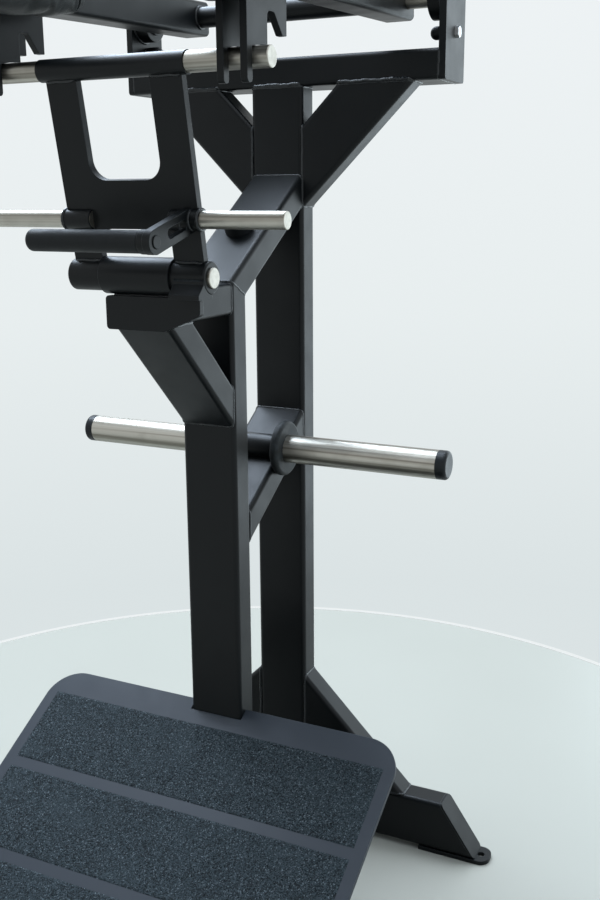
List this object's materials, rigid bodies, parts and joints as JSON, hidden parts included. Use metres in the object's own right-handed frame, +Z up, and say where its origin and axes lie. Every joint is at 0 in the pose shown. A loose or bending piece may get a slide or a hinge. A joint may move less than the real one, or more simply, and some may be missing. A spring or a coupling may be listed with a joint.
{
  "type": "leverage squat machine",
  "caption": "Free-standing leverage squat machine with a tilted tread plate, loaded lever arms with shoulder pads and a swinging safety lock with a handle.",
  "frame": {"origin": "on the floor, under the middle of the machine's width and depth", "axes": "+Z up, -Y towards the lifter who faces the machine, +X to the lifter's right"},
  "size_m": [0.986, 1.0544, 1.7256],
  "materials": {
    "frame_paint": "satin textured black powder coat",
    "plate_paint": "satin slate grey powder coat",
    "grit": "dark speckled anti-slip grit",
    "bright_steel": "polished stainless steel",
    "zinc": "bright zinc plate",
    "bronze": "sintered bronze",
    "black_rubber": "matte rubber",
    "black_plastic": "moulded plastic",
    "pad_cover": "dark upholstery vinyl"
  },
  "bodies": {
    "frame": {"base_spine": "frame_paint", "bearing_covers": "frame_paint", "bearing_housings": "frame_paint", "buffer_fasteners": "zinc", "crossbar_plugs": "black_plastic", "foot_end_plates": "frame_paint", "foot_pads": "frame_paint", "foot_plate": "plate_paint", "front_cross_foot": "frame_paint", "front_plate": "frame_paint", "front_upright": "frame_paint", "grip_strips": "grit", "head_beam": "frame_paint", "head_braces": "frame_paint", "hinge_barrel": "frame_paint", "hinge_bushes": "bronze", "lower_brace": "frame_paint", "neck": "frame_paint", "neck_bumper": "black_rubber", "peg_hub": "frame_paint", "pivot_bushes": "bronze", "plate_crossbar": "frame_paint", "plate_stringers": "frame_paint", "rear_braces": "frame_paint", "rear_leg": "frame_paint", "rear_upright": "frame_paint", "side_plates": "frame_paint", "stop_buffers": "black_rubber", "storage_caps": "black_plastic", "storage_collars": "frame_paint", "storage_pegs": "bright_steel", "support_arm": "frame_paint", "under_brace": "frame_paint"},
    "lock": {"lock_plate": "frame_paint", "lock_bar": "bright_steel", "lock_bar_sleeve": "frame_paint", "hinge_pin": "bright_steel", "hinge_knuckles": "frame_paint", "hinge_washers": "zinc", "stop_tab": "frame_paint", "catch_bosses": "frame_paint", "catch_pins": "bright_steel", "handle_link": "frame_paint", "handle_core": "frame_paint", "handle_grip": "black_rubber"},
    "lever": {"lever_end_plates": "frame_paint", "pivot_shaft": "bright_steel", "pivot_sleeve": "frame_paint", "hand_posts": "frame_paint", "hand_grips": "black_rubber", "pad_brackets": "frame_paint", "left_lever_arm": "frame_paint", "left_hooks": "frame_paint", "left_shoulder_pad": "pad_cover", "right_lever_arm": "frame_paint", "right_hooks": "frame_paint", "right_shoulder_pad": "pad_cover", "horn_collars": "frame_paint", "load_horns": "bright_steel", "horn_caps": "black_plastic"}
  },
  "joints": [
    {"name": "lever", "type": "hinge", "parent": "frame", "child": "lever", "pos_m": [0, 0.46719, 1.559], "axis": [-1, 0, 0], "range_deg": [0, 20]},
    {"name": "lock", "type": "hinge", "parent": "frame", "child": "lock", "pos_m": [0, -0.00981, 1.131], "axis": [-1, 0, 0], "range_deg": [0, 82]}
  ]
}
